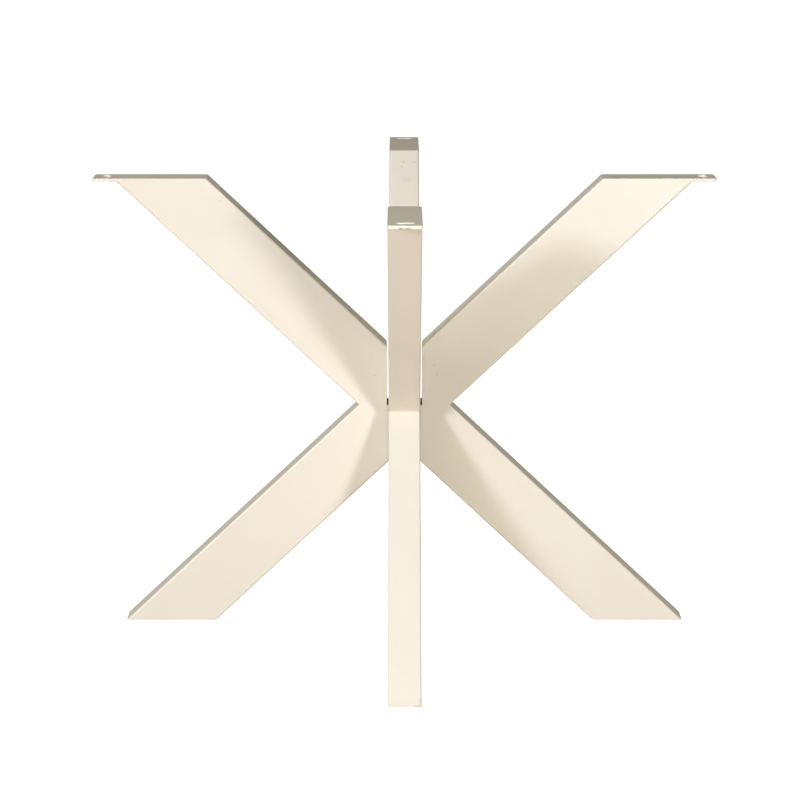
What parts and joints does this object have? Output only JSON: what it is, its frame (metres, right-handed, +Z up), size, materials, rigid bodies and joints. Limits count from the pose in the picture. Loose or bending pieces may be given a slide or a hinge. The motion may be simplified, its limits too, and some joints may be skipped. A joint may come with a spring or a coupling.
{
  "type": "cross-frame table base",
  "caption": "Dining-height table base of crossed rectangular steel tubes with flat slotted plates on top, powder-coated cream.",
  "frame": {"origin": "on the floor, straight below the crossing of the two frames", "axes": "+X to the right along the base frame, +Y to the rear along the drop-in frame, +Z up"},
  "size_m": [0.976, 0.976, 0.72],
  "materials": {
    "tubes": "cream fine-texture powder coat on steel tube",
    "plates": "cream fine-texture powder coat on steel plate",
    "weld_beads": "cream powder coat over weld bead"
  },
  "bodies": {
    "root": {"base_frame_through_tube": "tubes", "base_frame_upper_half_tube": "tubes", "base_frame_lower_half_tube": "tubes", "base_frame_left_top_plate": "plates", "base_frame_left_foot_plate": "plates", "base_frame_left_plate_weld": "weld_beads", "base_frame_right_top_plate": "plates", "base_frame_right_foot_plate": "plates", "base_frame_right_plate_weld": "weld_beads", "drop_in_frame_through_tube": "tubes", "drop_in_frame_upper_half_tube": "tubes", "drop_in_frame_lower_half_tube": "tubes", "drop_in_frame_front_top_plate": "plates", "drop_in_frame_front_foot_plate": "plates", "drop_in_frame_front_plate_weld": "weld_beads", "drop_in_frame_rear_top_plate": "plates", "drop_in_frame_rear_foot_plate": "plates", "drop_in_frame_rear_plate_weld": "weld_beads"}
  },
  "joints": []
}
